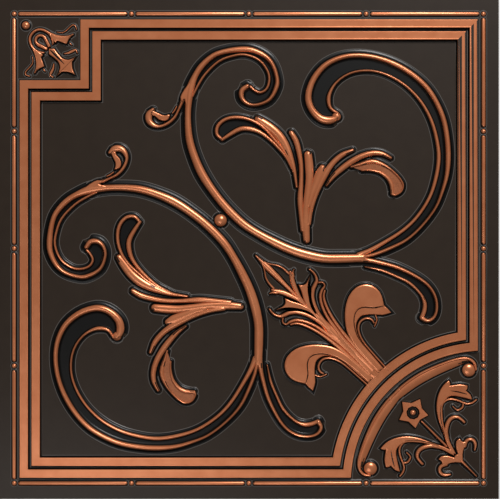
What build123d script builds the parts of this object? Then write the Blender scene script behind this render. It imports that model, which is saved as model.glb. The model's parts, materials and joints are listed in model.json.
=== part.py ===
"""Embossed PVC ceiling tile: one thin formed sheet with scrollwork relief and a hollow back.

The tile lies face up. Its back is at z = 0 and its relief rises towards +Z. Places are in
millimetres from the middle of the tile, with +X to the right and +Y up the pattern. The
pattern is the same on both sides of the diagonal from the top-left to the bottom-right
corner, so each form is drawn once and mirrored about that diagonal.
"""

from build123d import *
from math import cos, radians, sin
from numpy import interp
import os

TILE = 603.0  # side of the square sheet, for a 24 inch grid
SHEET = 0.8  # thickness of the sheet, the same everywhere
BEDDING = SHEET / 2  # how deep a raised form starts in the sheet

BEAD_RING = 282.8  # middle of the bead line, from the middle of the tile
BEAD_WIDTH = 6.4
BEAD_RISE = 2.8
BEAD_TAPER = 22  # degrees that the sides of the bead line lean
BEAD_RADIUS = 3.2
BEAD_SIDES = 12
BEAD_PITCH = BEAD_RING / 2
BEAD_GAP = 6.0  # from a bead's middle to the end of the line beside it

OUTER_BAND = 270.6  # middle of the outer frame band
INNER_BAND = 256.3
BAND_WIDTH = 9.7
BAND_RISE = 4.5
BAND_RUN = 1.6  # how far a band's sides lean out
BAND_GROOVE = OUTER_BAND - INNER_BAND
OUTER_NOTCH = 197.5  # where the bands step in round the corner panel
INNER_NOTCH = OUTER_NOTCH - BAND_GROOVE
FAN_CENTRE = (BEAD_RING, -BEAD_RING)
FAN_RADIUS = 165.0  # outer band's arc round the bottom-right corner
CRESCENT_RADIUS = 147.5
CRESCENT_WIDTH = 10.6
CRESCENT_RISE = 4.5

# How high each family of ridges stands, and how far its sides lean out.
SCROLL_RISE, SCROLL_RUN = 6.0, 4.5
RIM_RISE, RIM_RUN = 4.6, 2.6
LEAF_RISE, LEAF_RUN = 5.2, 2.4
PANEL_RISE, PANEL_RUN = 4.0, 1.8

FLOWER = (197.7, -197.7)
FLOWER_TIP, FLOWER_VALLEY, FLOWER_BOWL = 18.6, 10.8, 8.2
FLOWER_RISE = 3.2
PETAL_TAPER = 18

DOME_SIDES = 18
DOME_SHOULDER, SHOULDER_RISE = 0.76, 0.74  # a dome's bevel, as shares of its foot and its rise
DOME_CROWN = 0.4

FACET_LENGTH = 40.0  # how long a side's facets are where a route is straight
FACET_TURN = 16.0  # degrees that a route turns by from facet to facet where it is tight
FINE_STEPS = 200  # how finely a route is measured

DIAGONAL = Plane(origin=(0, 0, 0), z_dir=(1, 1, 0))

# Each route is a chosen line down the middle of a raised form: x, y and the width of its top.
LEFT_SCROLL = [
    (130, -11.5, 9), (90, -11.5, 9.5), (50, -1.2, 9.5), (10, 18.8, 8.4), (-27.6, 50, 8.4),
    (-56.4, 90, 8.8), (-71, 130, 7.8), (-73.2, 170, 7), (-62, 212, 6), (-45, 230.5, 5.4),
    (-20, 238.8, 5.5), (2, 239.2, 5.5), (20, 231.5, 4.5), (32, 215, 3.6), (34, 196, 3.6),
    (26, 180.5, 3.2), (10, 173, 2.8), (-3.6, 175.6, 3.2), (-9.2, 185, 4.4), (-4, 194.5, 4),
]
RIGHT_SCROLL = [
    (106, 157.5, 5), (97.6, 154.6, 8), (87, 156.5, 8), (77.5, 165, 7), (71.6, 179.6, 6.8),
    (73.2, 194, 6.3), (83.2, 212.4, 6), (100, 226, 5.4), (124, 232.6, 4.6), (152, 230.6, 4.6),
    (180, 220, 5), (208, 200, 5), (226, 175, 5), (237, 143.6, 5), (240.2, 116, 5),
    (238.4, 88.8, 4.2), (231.2, 64, 3), (216, 35.5, 2.6), (198, 16.5, 2.6), (170, 0.6, 3),
    (140, -9.6, 4),
]
TAIL = [
    (125, -12, 8), (144, -14, 5), (166, -18.6, 3.8), (187.6, -26.4, 3.2), (209.2, -38.8, 2.8),
    (221.5, -52, 2.6), (226.3, -69.6, 2.6), (221.5, -84.5, 3), (210.8, -85.6, 4),
]
TAIL_RIM = [
    (150, -24.2, 2.4), (170, -30, 2.6), (193.2, -41.4, 2.8), (206.8, -54.8, 2.6), (211.8, -67, 4),
    (208.4, -82, 4),
]
LEFT_RIM = [
    (5, 192, 2.4), (14, 188.2, 2.4), (22, 193.4, 2.4), (24.6, 204, 2.4), (20, 218.5, 2.4),
    (8.4, 229.2, 2.4), (-10, 233, 2.4), (-30, 228.4, 2.4), (-46, 217.5, 2.4), (-62, 196, 2.6),
]
RIGHT_RIM = [
    (107, 163, 3), (98.4, 169.2, 3.2), (96, 180, 3.8), (101, 194, 2.6), (115, 207.4, 2.4),
    (136, 214, 2.4), (160, 211.4, 2.4), (184, 199.2, 2.8), (208, 175.6, 3), (224, 142, 3.6),
    (228.6, 108, 4), (223.2, 76, 3.6), (207.6, 44.8, 3.2), (185.2, 21.6, 3.4), (160, 5.6, 4),
    (136, -6, 5),
]
HOOK_LEAF = [
    (-76, 186, 7), (-80.5, 175.6, 4.4), (-86, 163, 3), (-96, 150.4, 2.8), (-108, 146.4, 2.8),
    (-117.5, 152, 4.6), (-119, 162, 5), (-113, 168, 3.4),
]
SPRAY_FRONDS = [
    [(10, 157, 6), (20, 151, 8), (31, 142, 9.5), (41, 130, 10), (48, 115, 8.5), (54, 96, 5),
     (57.5, 74, 3)],
    [(52.5, 139, 5), (58.5, 125, 5), (61.8, 108, 4.6), (63.2, 90, 4.4), (62.5, 70, 5), (63, 44, 5),
     (65, 28, 5)],
    [(71.5, 113, 7.5), (73, 98, 8.5), (72.8, 80, 8), (70.5, 60, 8), (68.5, 40, 8.5), (69.5, 6, 8)],
    [(88.5, 98, 7), (84, 84.5, 9), (77, 68, 8.5), (71, 50, 7)],
    [(122, 117.5, 3.4), (108, 110.5, 4.6), (97, 99.5, 5), (89, 86, 6.5), (80, 64, 5),
     (73, 40, 5)],
    [(168, 110.5, 3), (156, 115.2, 3.6), (140, 113.5, 4), (122, 105, 5), (105, 91.5, 4),
     (92, 74, 3), (83, 58, 3)],
]
SPRAY_CURLS = [
    [(36, 124.5, 2.6), (24, 138.4, 3), (8, 151, 3.4), (-14, 158, 3.2), (-32, 153.5, 3),
     (-38.5, 144, 3), (-35, 134.5, 3)],
    [(-33, 133.5, 3.4), (-24, 136.5, 4), (-10, 143.6, 4.4), (6, 142.6, 4.2), (19, 136, 3.4)],
    [(124, 98.4, 2.6), (140, 103, 4.4), (156, 104, 4.4), (172, 94, 2.6), (184, 80.5, 2.6),
     (182.5, 68.5, 2.6), (174.5, 65, 3)],
    [(173, 66, 3.6), (170.5, 80, 4.4), (157, 92, 3.4), (136, 94, 2.6)],
]
BUD_CURL = [
    (160, -139, 2), (148, -124, 2), (136, -109, 2), (131.6, -97, 2), (134.4, -87.6, 2.4),
    (141.6, -84, 2.4), (150.5, -90, 2),
]
PALMETTE_LEAVES = [
    [(64, -62, 3), (57, -47.5, 6), (48.5, -34, 8), (36, -24.5, 6.5), (23, -18.5, 3)],
    [(86, -78, 4), (76, -64, 7), (69.5, -50, 8), (62, -45, 4.4)],
    [(98, -96, 4), (86.5, -79, 5), (81, -62, 6), (81.5, -46, 5), (80.5, -34, 4), (75, -26.5, 3.4)],
    [(110, -104, 4), (98, -85, 4.4), (90.5, -66, 4.6), (89, -50, 4), (88, -42, 3)],
]
CORNER_LEAVES = [
    [(242, -234, 3.4), (238.5, -220, 3.4), (239.6, -210, 3.6), (246, -203, 3.4), (254, -203.4, 3),
     (259.4, -208.6, 2.8)],
    [(257, -238, 5), (261, -232.6, 4), (266.5, -229.8, 3.6), (271.4, -232.4, 2.6),
     (273.2, -240, 2.2)],
    [(234, -189, 2.2), (240, -181.8, 2.2), (252, -182.4, 2.2), (261, -187, 2.2), (269, -186, 2.2),
     (274, -181.6, 2.2)],
    [(257.6, -187, 2.2), (256, -192, 2.2), (251, -195, 2)],
]
PANEL_LEAVES = [
    [(-251, 257, 2.6), (-245, 254, 2.6), (-240, 243, 3)],
    [(-263.6, 250, 2.8), (-260, 260, 2.8), (-249, 264, 2.8), (-238, 259, 3), (-226, 254.6, 3),
     (-213, 256.6, 2.6)],
    [(-223, 234.4, 2.6), (-214, 236.2, 2.6), (-206.6, 234.6, 2.4)],
    [(-220, 260, 2.4), (-214, 267, 2.4), (-208, 266.4, 2.4)],
]
MIDRIB = [(9, -9, 2.6), (18, -18, 5), (34, -34, 4.4), (60, -60, 3), (90, -90, 8), (118, -118, 12),
          (150, -150, 12)]
FLOWER_STEM = [(203, -203, 3), (220, -220, 2.6), (252, -252, 3)]
CORNER_SPIKE = [(250, -250, 7), (260, -260, 3), (276, -276, 2)]

# Broad leaves are outlines: the corners of their tops, counter-clockwise.
BUD_HEAD = [
    (153, -146), (160, -141), (148, -126), (139, -115), (131, -103), (129.5, -92), (133, -83),
    (141, -79.5), (160, -79.5), (171, -77.5), (163, -68), (157, -50), (148, -44), (137, -43),
    (126, -49), (118.5, -60), (115.6, -74), (116.6, -92), (123, -110), (136, -126),
]
CORNER_FROND = [
    (247, -250), (252, -246), (244, -235), (238.4, -221), (234.6, -206), (233.6, -192),
    (237, -184), (246, -180.4), (258, -181), (268.6, -181), (262, -171), (262.6, -164.4),
    (252, -163.6), (243, -165), (240.6, -159), (237, -160.6), (230, -169), (226.6, -182),
    (226.6, -194), (229.6, -209), (233.6, -221), (239, -236),
]
CORNER_FLEUR = [
    (256.6, -257), (257, -246), (259.4, -239), (261, -234), (258.4, -232), (256, -231),
    (253.4, -228.6), (251, -230.6), (248.6, -233.6), (250.6, -237), (250.4, -246), (246, -251),
]
PANEL_LEAF = [
    (-238, 257.4), (-236, 250), (-232.6, 248.6), (-230, 250), (-221, 246.4), (-217, 250),
    (-212.6, 257.4), (-224, 255),
]
PANEL_FAN = [
    (-240, 240), (-238, 234), (-229, 226), (-227, 216), (-230.6, 208), (-223, 212), (-211.4, 209.4),
    (-209.4, 211.4), (-212, 223), (-208, 230.6), (-216, 227), (-226, 229), (-234, 238),
]

# Each dome is x, y, the radius of its foot and its rise.
DOMES = [
    (-34, 34, 9.6, 6.0),
    (-268.7, 269.0, 6.6, 4.4),
    (197.7, -197.7, 4.0, 3.4),
]
SIDE_DOMES = [
    (265, -146.5, 9.2, 5.0),
    (109, 161, 4.6, 5.0),
]


def polar(centre, radius, angle):
    """The point at a radius and an angle in degrees from a centre."""
    return centre[0] + radius * cos(radians(angle)), centre[1] + radius * sin(radians(angle))


CRESCENT = [
    (*polar(FAN_CENTRE, CRESCENT_RADIUS, angle), CRESCENT_WIDTH) for angle in (139, 129, 119, 110)
] + [(249, -137.6, 9.6), (260, -134.4, 5.4), (268.6, -137, 2.8), (272.8, -144, 2.4)]

# The routes of one half, with how high they stand and how far their sides lean out.
SCROLLS = ([LEFT_SCROLL, RIGHT_SCROLL, TAIL], SCROLL_RISE, SCROLL_RUN)
HALF_FAMILIES = [
    SCROLLS,
    ([TAIL_RIM, LEFT_RIM, RIGHT_RIM], RIM_RISE, RIM_RUN),
    ([HOOK_LEAF, BUD_CURL] + SPRAY_FRONDS + SPRAY_CURLS + PALMETTE_LEAVES, LEAF_RISE, LEAF_RUN),
    ([CRESCENT], CRESCENT_RISE, PANEL_RUN),
    (CORNER_LEAVES + PANEL_LEAVES, PANEL_RISE, PANEL_RUN),
]
CENTRE_FAMILY = ([MIDRIB, FLOWER_STEM, CORNER_SPIKE], PANEL_RISE, PANEL_RUN)
HALF_LEAVES = [
    (BUD_HEAD, LEAF_RISE, LEAF_RUN),
    (CORNER_FROND, PANEL_RISE, PANEL_RUN),
    (CORNER_FLEUR, PANEL_RISE, PANEL_RUN),
    (PANEL_LEAF, PANEL_RISE, PANEL_RUN),
]


def facet_places(line):
    """Where to put corners along a curve: closer together where it turns faster."""
    fine = [step / FINE_STEPS for step in range(FINE_STEPS + 1)]
    headings = [line % place for place in fine]
    reach = [0.0]
    for one, two in zip(headings, headings[1:]):
        turned = one.get_angle(two) / FACET_TURN
        reach.append(reach[-1] + line.length / FINE_STEPS / FACET_LENGTH + turned)
    count = max(2, round(reach[-1]))
    return [interp(reach[-1] * step / count, reach, fine) for step in range(count + 1)]


def flank(route, side, spread):
    """Points beside a route, on one side, that far out from the edge of its top."""
    line = Edge.make_spline([Vector(x, y) for x, y, width in route])
    stations = [line.param_at_point((x, y)) for x, y, width in route]
    widths = [width for x, y, width in route]
    points = []
    for place in facet_places(line):
        along = line % place
        across = along.rotate(Axis.Z, 90) * side * (interp(place, stations, widths) / 2 + spread)
        stretch = along * spread * {0: -1, 1: 1}.get(place, 0)
        points.append(line @ place + across + stretch)
    return points


def ridge(route, rise, run, low, inset=0.0):
    """A bar with leaning sides along a route, from the height low to the rise above it."""
    with BuildPart() as bar:
        for height, spread in ((low, run - inset), (low + rise, -inset)):
            left, right = flank(route, 1, spread), flank(route, -1, spread)
            with BuildSketch(Plane.XY.offset(height)):
                with BuildLine():
                    Polyline(*right, *left[::-1], close=True)
                make_face()
        loft(ruled=True)
    return bar.part


def outset(corners, spread):
    """An outline with every edge moved out by the same distance."""
    points = [Vector(*corner) for corner in corners]
    moved = []
    for before, here, after in zip(points[-1:] + points, points, points[1:] + points[:1]):
        one, two = (here - before).normalized(), (after - here).normalized()
        outward = (one + two).normalized().rotate(Axis.Z, -90)
        moved.append(here + outward * spread / max(outward.dot(two.rotate(Axis.Z, -90)), 0.5))
    return moved


def leaf(outline, rise, run):
    """A broad leaf with leaning sides, from the middle of the sheet to its rise."""
    with BuildPart() as body:
        for height, spread in ((BEDDING, foot_lean(rise, run)), (SHEET + rise, 0)):
            with BuildSketch(Plane.XY.offset(height)):
                with BuildLine():
                    Polyline(*outset(outline, spread), close=True)
                make_face()
        loft(ruled=True)
    return body.part


def foot_lean(rise, run):
    """How far a side leans out by the time it is in the middle of the sheet."""
    return run * (1 + BEDDING / rise)


def wall_inset(rise, run):
    """How far a hollow's side stands in, so that the sheet keeps its thickness there."""
    return SHEET * ((run**2 + rise**2) ** 0.5 - run) / rise


def raised(routes, rise, run):
    """The outer bodies of a family of ridges."""
    return [ridge(route, rise + BEDDING, foot_lean(rise, run), BEDDING) for route in routes]


def hollows(routes, rise, run):
    """The hollows behind a family of ridges, one sheet thickness under their faces."""
    lean, inset = foot_lean(rise, run), wall_inset(rise, run)
    return [ridge(route, rise + BEDDING, lean, -BEDDING, inset) for route in routes]


def joined(forms):
    """One body out of forms that run into each other."""
    return forms[0].fuse(*forms[1:])


def band_area(middle, notch, radius):
    """The area inside the middle line of a frame band: straight sides, a notch and an arc."""
    reach = BEAD_RING - (radius**2 - (BEAD_RING - middle) ** 2) ** 0.5
    with BuildSketch() as area:
        with BuildLine():
            Polyline(
                (middle, -reach), (middle, middle), (-notch, middle), (-notch, notch),
                (-middle, notch), (-middle, -middle), (reach, -middle),
            )
            ThreePointArc((reach, -middle), polar(FAN_CENTRE, radius, 135), (middle, -reach))
        make_face()
    return area.sketch


def band(middle, notch, radius, low, inset=0.0):
    """A flat-topped band with leaning sides, laid along the frame."""
    area = band_area(middle, notch, radius)
    half = BAND_WIDTH / 2 - inset
    levels = ((low, half + foot_lean(BAND_RISE, BAND_RUN)), (low + BAND_RISE + BEDDING, half))
    with BuildPart() as moulding:
        for side, mode in ((1, Mode.ADD), (-1, Mode.SUBTRACT)):
            for height, reach in levels:
                with BuildSketch(Plane.XY.offset(height)):
                    add(area)
                    offset(amount=side * reach, kind=Kind.INTERSECTION)
            loft(ruled=True, mode=mode)
    return moulding.part


def dome(x, y, foot, rise, low, inset=0.0):
    """A round button pressed up through the sheet, with a bevelled shoulder."""
    levels = (
        (low, foot * (1 + BEDDING / rise / 3) - inset),
        (low + SHOULDER_RISE * (rise + BEDDING), foot * DOME_SHOULDER - inset),
        (low + rise + BEDDING, foot * DOME_CROWN - inset / 2),
    )
    with BuildPart() as button:
        for height, radius in levels:
            with BuildSketch(Plane.XY.offset(height)):
                with Locations((x, y)):
                    RegularPolygon(radius, DOME_SIDES)
        loft(ruled=True)
    return button.part


def bead_bars(width, low):
    """The sixteen bars of the bead line, four to a side."""
    with BuildPart() as bars:
        with BuildSketch(Plane.XY.offset(low)):
            with PolarLocations(BEAD_RING, 4):
                with Locations(*[(0, (bar - 1.5) * BEAD_PITCH) for bar in range(4)]):
                    Rectangle(width, BEAD_PITCH - 2 * BEAD_GAP + width)
        extrude(amount=BEAD_RISE + BEDDING, taper=BEAD_TAPER)
    return bars.part


def beads():
    """The sixteen beads between the bars."""
    with BuildPart() as balls:
        with BuildSketch(Plane.XY.offset(BEDDING)):
            with PolarLocations(BEAD_RING, 4):
                with Locations(*[(0, (bead - 2) * BEAD_PITCH) for bead in range(4)]):
                    RegularPolygon(BEAD_RADIUS, BEAD_SIDES)
        extrude(amount=BEAD_RISE + BEDDING, taper=BEAD_TAPER)
    return balls.part


def flower():
    """The flower's five petals round its bowl."""
    reach = (FLOWER_TIP, FLOWER_VALLEY)
    corners = [polar(FLOWER, reach[point % 2], 135 + 36 * point) for point in range(10)]
    with BuildPart() as petals:
        with BuildSketch(Plane.XY.offset(BEDDING)):
            with BuildLine():
                Polyline(*corners, close=True)
            make_face()
            with Locations(FLOWER):
                RegularPolygon(FLOWER_BOWL, DOME_SIDES, mode=Mode.SUBTRACT)
        extrude(amount=FLOWER_RISE + BEDDING, taper=PETAL_TAPER)
    return petals.part


half_relief = [form for family in HALF_FAMILIES for form in raised(*family)]
half_relief += [leaf(*shape) for shape in HALF_LEAVES]
half_relief += [dome(*place, BEDDING) for place in SIDE_DOMES]
half_relief = joined(half_relief)
half_hollow = joined(hollows(*SCROLLS))

relief = [half_relief, half_relief.mirror(DIAGONAL), flower(), beads()]
relief += raised(*CENTRE_FAMILY) + [leaf(PANEL_FAN, PANEL_RISE, PANEL_RUN)]
relief += [dome(*place, BEDDING) for place in DOMES]
relief.append(bead_bars(BEAD_WIDTH, BEDDING))
hollow = [half_hollow, half_hollow.mirror(DIAGONAL)]
hollow.append(dome(*DOMES[0], -BEDDING, SHEET))
hollow.append(bead_bars(BEAD_WIDTH - 2 * SHEET, -BEDDING))
for middle, notch, radius in (
    (OUTER_BAND, OUTER_NOTCH, FAN_RADIUS),
    (INNER_BAND, INNER_NOTCH, FAN_RADIUS + BAND_GROOVE),
):
    relief.append(band(middle, notch, radius, BEDDING))
    hollow.append(band(middle, notch, radius, -BEDDING, wall_inset(BAND_RISE, BAND_RUN)))

with BuildPart() as ceiling_tile:
    with BuildSketch():
        Rectangle(TILE, TILE)
    extrude(amount=SHEET)
    add(relief)
    add(hollow, mode=Mode.SUBTRACT)

ceiling_tile.part.label = "ceiling_tile"
print("solids", len(ceiling_tile.part.solids()), "valid", ceiling_tile.part.is_valid)
print("volume in cm3", round(ceiling_tile.part.volume / 1000, 1))
os.makedirs("parts", exist_ok=True)
export_step(ceiling_tile.part, "parts/ceiling_tile.step")
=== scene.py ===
# %% [markdown]
# Embossed ceiling tile, antique copper finish.
# One thin PVC sheet is heated and drawn over a carved mould, so the scrollwork stands up on the
# face and is hollow behind. The sheet is sprayed near black, glazed brown, and copper is rubbed
# over what stands proud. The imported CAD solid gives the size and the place; this script makes
# the same sheet again with its fine relief, paints it, and lights it from above.

import json
from math import asin, ceil, cos, degrees, pi, radians, sin, sqrt

import bmesh
import bpy
from mathutils import Matrix, Vector
from mathutils.bvhtree import BVHTree
from mathutils.geometry import interpolate_bezier
from mathutils.interpolate import poly_3d_calc

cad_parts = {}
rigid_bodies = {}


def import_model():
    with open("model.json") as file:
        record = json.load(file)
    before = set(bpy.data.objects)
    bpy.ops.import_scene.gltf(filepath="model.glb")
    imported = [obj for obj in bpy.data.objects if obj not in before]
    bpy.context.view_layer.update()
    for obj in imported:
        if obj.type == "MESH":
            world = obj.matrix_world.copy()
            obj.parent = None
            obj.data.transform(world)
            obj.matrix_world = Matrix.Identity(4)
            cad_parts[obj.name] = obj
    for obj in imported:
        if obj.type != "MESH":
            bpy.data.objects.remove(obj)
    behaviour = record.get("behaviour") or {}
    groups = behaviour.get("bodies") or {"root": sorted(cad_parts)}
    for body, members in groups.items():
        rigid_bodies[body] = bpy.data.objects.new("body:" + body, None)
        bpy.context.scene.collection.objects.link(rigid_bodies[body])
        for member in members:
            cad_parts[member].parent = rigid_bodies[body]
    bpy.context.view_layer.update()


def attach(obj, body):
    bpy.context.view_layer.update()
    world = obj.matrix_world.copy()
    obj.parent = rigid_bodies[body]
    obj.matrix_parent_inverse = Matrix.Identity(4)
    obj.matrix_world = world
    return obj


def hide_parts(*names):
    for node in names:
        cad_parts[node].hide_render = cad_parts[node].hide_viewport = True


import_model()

# %% [markdown]
# Sizes. Everything is drawn in millimetres from the middle of the tile, +X to the right and +Y
# up the pattern, and the finished sheet is scaled to metres once. The pattern is the same on
# both sides of the diagonal from the top-left to the bottom-right corner, so each form is drawn
# once and mirrored.

# %% Sizes of the tile
MM = 0.001
TILE = 603.0
SHEET = 0.8
RELIEF = 6.0  # how far the scrolls stand over the sheet
BEAD_RING = 282.8
BEAD_PITCH = BEAD_RING / 2
BEAD_RISE = 2.8
BAR_GAP = 7.2  # from the middle of a bead to where a bar's crown ends
BAR_CROWN = 4.2
OUTER_BAND, INNER_BAND = 270.6, 256.3
OUTER_NOTCH, INNER_NOTCH = 197.5, 183.2
FAN_CENTRE = (BEAD_RING, -BEAD_RING)
FAN_RADIUS = 165.0
BAND_TOP = 9.6  # width of a band's flat top
BAND_RISE = 4.5
SUNK = 0.45  # how far a raised form starts below the face, so that the two join
print("tile", TILE, "mm, sheet", SHEET, "mm, relief", RELIEF, "mm")

# %% [markdown]
# Sections. A raised line on the real mould is a rounded crown with leaning walls and a small
# swelled foot, where the hot sheet sprang back from the mould. One half of the section is
# enough: each row gives a share of the half crown, a share of the wall's run, a share of the
# rise, how much copper is rubbed on there and how much near black is painted there, which is
# glaze and painted shade on the walls. The foot's rows are in millimetres, and a value below
# zero marks its swell, where a grey highlight is painted. The hollow behind is narrower than
# the walls in front of it, so that the sheet is never cut through.

# %% The sections
SCROLL = (
    (0.00, 0.00, 1.00, 1.0, 0.0),
    (0.36, 0.00, 0.97, 1.0, 0.0),
    (0.68, 0.00, 0.88, 1.0, 0.0),
    (0.90, 0.00, 0.75, 1.0, 0.0),
    (1.00, 0.02, 0.62, 0.6, 0.3),
    (1.00, 0.14, 0.42, 0.0, 1.0),
    (1.00, 0.36, 0.20, 0.0, 1.0),
    (1.00, 0.66, 0.06, 0.0, 1.0),
    (1.00, 1.00, 0.012, 0.0, 1.0),
)
# Rows: out from the wall, up from the sheet, copper, glaze and painted light; the -1 on the swell
# is a painted grey highlight.
FOOT = (  # out from the wall, up from the sheet, copper, glaze
    (0.35, 0.30, 0.0, -1.0),
    (0.65, 0.30, 0.0, -1.0),
    (1.30, -0.08, 0.0, 0.0),
)
BACK = (
    (0.00, 0.00, 1.00, 0.0, 0.0),
    (0.68, 0.00, 0.88, 0.0, 0.0),
    (1.00, 0.00, 0.58, 0.0, 0.0),
    (1.00, 0.12, 0.36, 0.0, 0.0),
    (1.00, 0.32, 0.14, 0.0, 0.0),
    (1.00, 0.62, 0.00, 0.0, 0.0),
)
print("section rows", len(SCROLL), "with", len(FOOT), "for the foot")

# %% [markdown]
# Routes. Each list is a line down the middle of a raised form, with the width of its crown at
# each point. A curve through a few well placed points stays smoother than many points.

# %% Scroll routes
LEFT_SCROLL = [
    (138, -11.2, 8.4), (110, -12, 9.5), (90, -11.6, 9.5), (70, -7.6, 10), (50, -1.2, 9.5),
    (30, 8, 9), (10, 18.8, 8), (-7, 30, 8.5), (-27.6, 50, 8.4), (-43.6, 70, 8.4),
    (-56.4, 90, 9), (-65.2, 110, 8.2), (-71.2, 130, 7.8), (-73.2, 150, 6.5),
    (-73, 170, 6.4), (-71, 190, 9), (-65, 207, 6), (-56.6, 220, 5.8), (-43, 232, 5),
    (-30, 237, 4.9), (-10, 239.8, 5.8), (4, 239, 5.4), (20, 231.5, 4.5), (29, 221, 3.5),
    (34, 205, 3.5), (33.5, 195, 4), (26, 180.5, 3), (14.8, 174.2, 2.5), (2, 173.2, 2.5),
    (-7.5, 179.8, 4), (-8.4, 190, 5), (-1.5, 195.6, 4),
]
LEFT_RIM = [
    (2, 195, 2.6), (6, 191.2, 2.2), (14, 188, 2.2), (21.6, 192.8, 2.2), (24.6, 204, 2.2),
    (22, 214.8, 2.2), (12.4, 226.8, 2.2), (-4.4, 233.4, 2.2), (-19.6, 231.8, 2.2),
    (-36, 225.4, 2.2), (-52.8, 209.5, 2.2), (-62, 195, 2.2), (-67.6, 183, 1.6),
]
RIGHT_SCROLL = [
    (107, 159.5, 4), (103.2, 156, 7), (95, 154.4, 8.5), (85.6, 157.2, 8), (76, 167.2, 7),
    (71.6, 179.6, 6.8), (73.2, 192.4, 6.3), (78.6, 205.2, 6), (89.6, 218.8, 5.5),
    (103.2, 227.2, 5), (120, 232, 4.5), (140, 232.2, 4.5), (160, 228.2, 4.5), (180, 220, 5),
    (200, 207.2, 5), (216, 191.6, 5), (228, 171.6, 5), (235.2, 152.4, 5), (239.2, 128, 5),
    (240, 108, 5), (238.4, 88.8, 4), (234, 72, 3), (225.2, 49.6, 2), (208.4, 27.2, 2),
    (190, 10.5, 2.4), (170, 0.3, 3), (150, -7.4, 3), (138, -9.8, 3),
]
RIGHT_RIM = [
    (107.2, 162.8, 2.5), (98.4, 169.2, 3), (96, 179.6, 4), (98.4, 189.2, 3), (104.8, 199.2, 2.2),
    (115.2, 207.6, 2), (128, 212.8, 2), (144.8, 214.2, 2), (160, 211.4, 2.2), (176, 204.4, 2.5),
    (192, 193.2, 2.6), (208, 175.6, 3), (220, 153.2, 3.4), (226.8, 128, 3.8), (228.6, 108, 4),
    (225, 84, 3.8), (217.2, 60.8, 3.2), (202, 37.6, 3.2), (185.2, 21.6, 3.4), (160, 5.6, 4),
    (144, -3.2, 5), (132, -8, 6),
]
TAIL = [
    (125, -12, 8), (144, -14, 4.6), (160, -17.4, 3.8), (180, -23.2, 3.4), (202, -34, 2.8),
    (215.6, -44, 2.5), (223.6, -56, 2.5), (226.3, -69.6, 2.5), (223.6, -81.6, 2.5),
    (215.6, -87, 3.5), (208.4, -83.6, 4.5),
]
TAIL_RIM = [
    (140, -22, 0.8), (160, -26.4, 2.4), (178, -33.8, 2.4), (193.2, -41.4, 2.8),
    (206.8, -54.8, 2.4), (211.8, -66, 4), (211, -76, 4.5), (208, -83, 4),
]
print("scroll routes", [len(route) for route in (LEFT_SCROLL, RIGHT_SCROLL, TAIL)])

# %% Leaf routes
HOOK_LEAF = [
    (-75, 190, 6), (-79, 180.6, 4.4), (-84.6, 167, 2.2), (-89, 158.4, 2.6), (-97, 151, 3),
    (-107, 147, 3), (-114.6, 148.6, 5), (-120, 154, 7), (-120, 161.6, 7), (-115.4, 167, 4),
]
HOOK_THREAD = [(-92, 163, 1.2), (-89.4, 166.4, 1.4), (-87, 171, 1.2)]
SPRAY_FRONDS = [
    [(11, 156, 7), (19, 150.6, 9), (30, 142.4, 9.6), (39.4, 131.6, 10), (46, 119.6, 8.6),
     (51, 107, 6), (54.5, 95, 4), (57.5, 74, 2)],
    [(51, 139.6, 5), (56.4, 130.4, 6), (60, 118, 5.6), (62.8, 100, 4.6), (63, 80, 4.4),
     (61.8, 60, 6), (63, 40, 5), (65, 22, 5)],
    [(71.4, 113, 8.6), (72.8, 98, 9.4), (73, 84, 8.6), (71, 66, 8), (69, 50, 8), (68.4, 30, 9),
     (69.6, 10, 7)],
    [(88.6, 97, 7.4), (85.8, 90.4, 11), (81.4, 79, 10), (76, 66, 8), (72, 52, 7)],
    [(125, 118.4, 3.2), (112, 112.6, 5.4), (99.4, 101, 6), (90, 86, 7), (81, 66, 5),
     (74.5, 46, 5), (72, 30, 5)],
    [(170.6, 109, 3), (161, 114, 4.6), (149, 115, 5.6), (136, 111.4, 6), (122.6, 104, 6.4),
     (110, 94.6, 6), (100.6, 85.6, 4.4), (93.5, 76, 2)],
]
SPRAY_CURLS = [
    [(53.6, 92, 1.6), (48.6, 106, 2.4), (39.6, 121, 2.6), (29, 133.6, 2.6), (18, 145.4, 2.8),
     (4.4, 154, 3), (-12, 158, 3.4), (-27, 156, 3.6), (-37, 148, 3.6), (-38.5, 138, 3.4),
     (-33, 132, 3)],
    [(-32, 131, 3), (-24, 136.5, 4), (-10, 144, 5), (2, 144, 5), (14, 139.6, 4), (26, 130.6, 3.4),
     (36.6, 120, 3), (45, 109.4, 2.4), (51.6, 96, 1.4)],
    [(123.2, 98.4, 2), (135.2, 101.6, 4), (148, 104.8, 5), (160, 101.6, 4), (173.6, 92.8, 2),
     (184.8, 79.2, 2), (184, 69.6, 1.8), (176, 64.4, 2), (172.4, 66, 3)],
    [(172.6, 66, 3), (172, 76, 4.5), (167.2, 84.8, 4), (156.8, 92, 3), (144, 94.4, 2),
     (136, 94, 1.5)],
]
PALMETTE_LEAVES = [
    [(73, -25, 1.6), (77, -28, 2), (80.4, -33, 2.4), (81.6, -39.6, 3.6), (77.6, -48, 4.4),
     (76.6, -58, 4), (79, -68, 4), (84.6, -79.4, 4), (94, -92, 4.4), (108, -108, 4)],
    [(84, -41, 1.6), (88.6, -40.8, 1.6), (91.2, -45, 1.8), (88, -50, 2.6), (86, -58, 3),
     (88.2, -69, 3), (93.6, -81, 3), (104, -96, 4), (118, -114, 4), (150, -146, 5)],
    [(91.4, -50.6, 1.8), (90, -57, 2.4), (92, -66, 2.8), (97, -77, 3), (104, -88.6, 3.4),
     (116, -104.6, 4), (134, -124.6, 4.4), (156, -148, 4.4)],
]
BUD_CURL = [
    (168, -147, 1.8), (148, -124.6, 1.8), (137, -111, 2), (132, -98.6, 2.2), (133.6, -89, 2.2),
    (141, -84, 2.2), (147.6, -85.4, 2.2), (150.6, -89.6, 1.6),
]
BUD_THORN = [(152.4, -80, 1.4), (154.4, -86, 1.4), (151.4, -93.6, 1.2)]
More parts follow.
